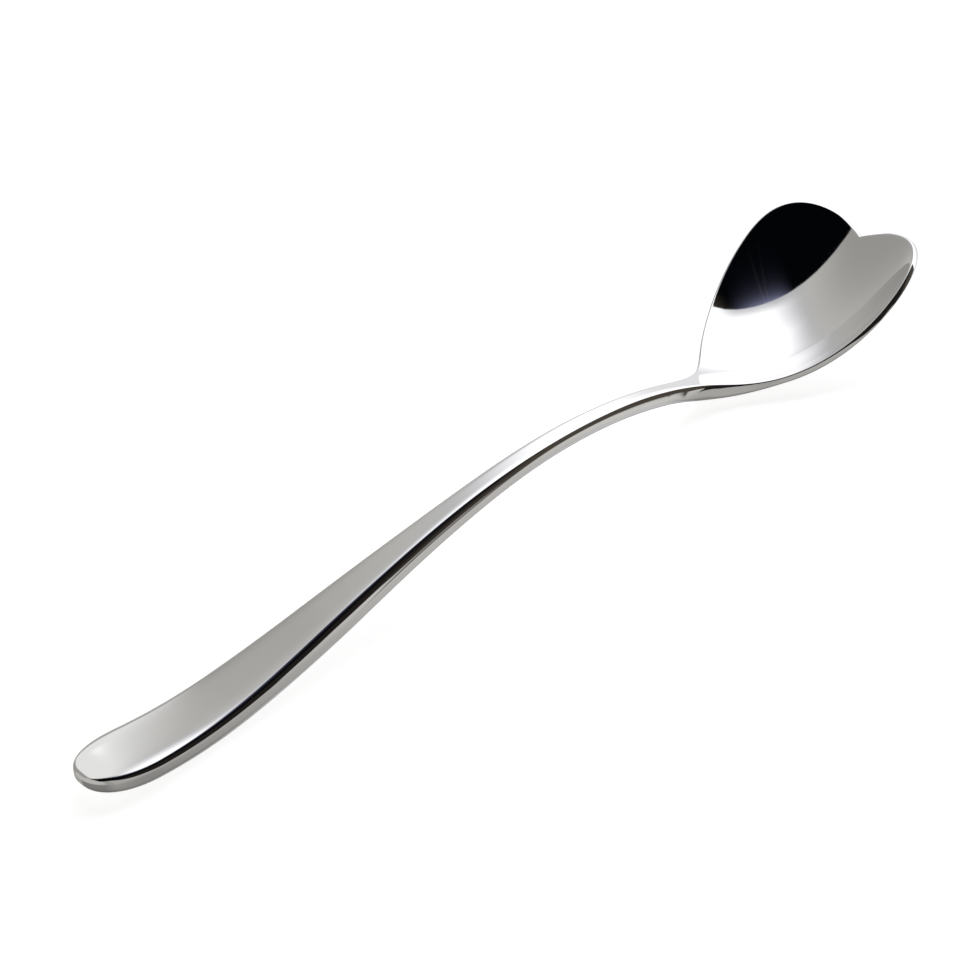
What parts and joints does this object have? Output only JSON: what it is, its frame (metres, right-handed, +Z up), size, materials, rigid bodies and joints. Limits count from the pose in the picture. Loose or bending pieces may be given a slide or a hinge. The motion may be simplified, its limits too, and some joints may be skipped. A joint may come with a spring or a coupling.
{
  "type": "dessert spoon",
  "caption": "Polished steel dessert spoon with a shallow heart-shaped bowl, a slim arched neck and a solid handle that widens to a rounded end.",
  "frame": {"origin": "middle of the spoon's length and width, at the level of the table it lies on", "axes": "+X along the spoon from the butt of the handle to the front of the bowl, +Y across it, +Z up out of the bowl"},
  "size_m": [0.1787, 0.0402, 0.0167],
  "materials": {
    "polished_steel": "stainless steel polished to a mirror, with fine wear from use"
  },
  "bodies": {
    "root": {"bowl": "polished_steel", "handle": "polished_steel"}
  },
  "joints": []
}
